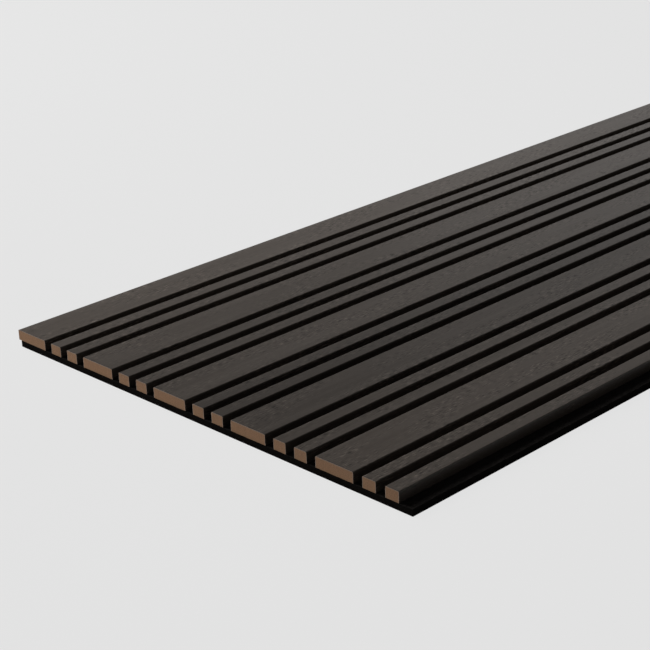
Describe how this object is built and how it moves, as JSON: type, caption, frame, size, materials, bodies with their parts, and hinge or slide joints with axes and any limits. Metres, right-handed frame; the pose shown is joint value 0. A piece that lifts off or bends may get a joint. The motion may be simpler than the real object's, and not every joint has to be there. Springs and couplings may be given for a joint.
{
  "type": "acoustic slat wall panel",
  "caption": "Flat wall panel of dark veneered slats, wide and narrow in turn, on a black felt board that absorbs sound; its edges lap the next panel.",
  "frame": {"origin": "centre of the felt's back face, which goes against the wall", "axes": "+X across the slats, from the edge that overhangs to the edge with the felt tongue; +Y along the slats; +Z out of the wall"},
  "size_m": [0.605, 2.4, 0.02],
  "materials": {
    "stained_veneer": "dark stained oak veneer, matt lacquer",
    "board_core": "sawn medium density fibreboard",
    "felt": "pressed black polyester felt",
    "staple_wire": "galvanised wire"
  },
  "bodies": {
    "root": {"felt_backing": "felt", "slat_01_core": "board_core", "slat_02_core": "board_core", "slat_03_core": "board_core", "slat_04_core": "board_core", "slat_05_core": "board_core", "slat_06_core": "board_core", "slat_07_core": "board_core", "slat_08_core": "board_core", "slat_09_core": "board_core", "slat_10_core": "board_core", "slat_11_core": "board_core", "slat_12_core": "board_core", "slat_13_core": "board_core", "slat_14_core": "board_core", "slat_15_core": "board_core", "slat_01_veneer": "stained_veneer", "slat_02_veneer": "stained_veneer", "slat_03_veneer": "stained_veneer", "slat_04_veneer": "stained_veneer", "slat_05_veneer": "stained_veneer", "slat_06_veneer": "stained_veneer", "slat_07_veneer": "stained_veneer", "slat_08_veneer": "stained_veneer", "slat_09_veneer": "stained_veneer", "slat_10_veneer": "stained_veneer", "slat_11_veneer": "stained_veneer", "slat_12_veneer": "stained_veneer", "slat_13_veneer": "stained_veneer", "slat_14_veneer": "stained_veneer", "slat_15_veneer": "stained_veneer", "staples": "staple_wire"}
  },
  "joints": []
}
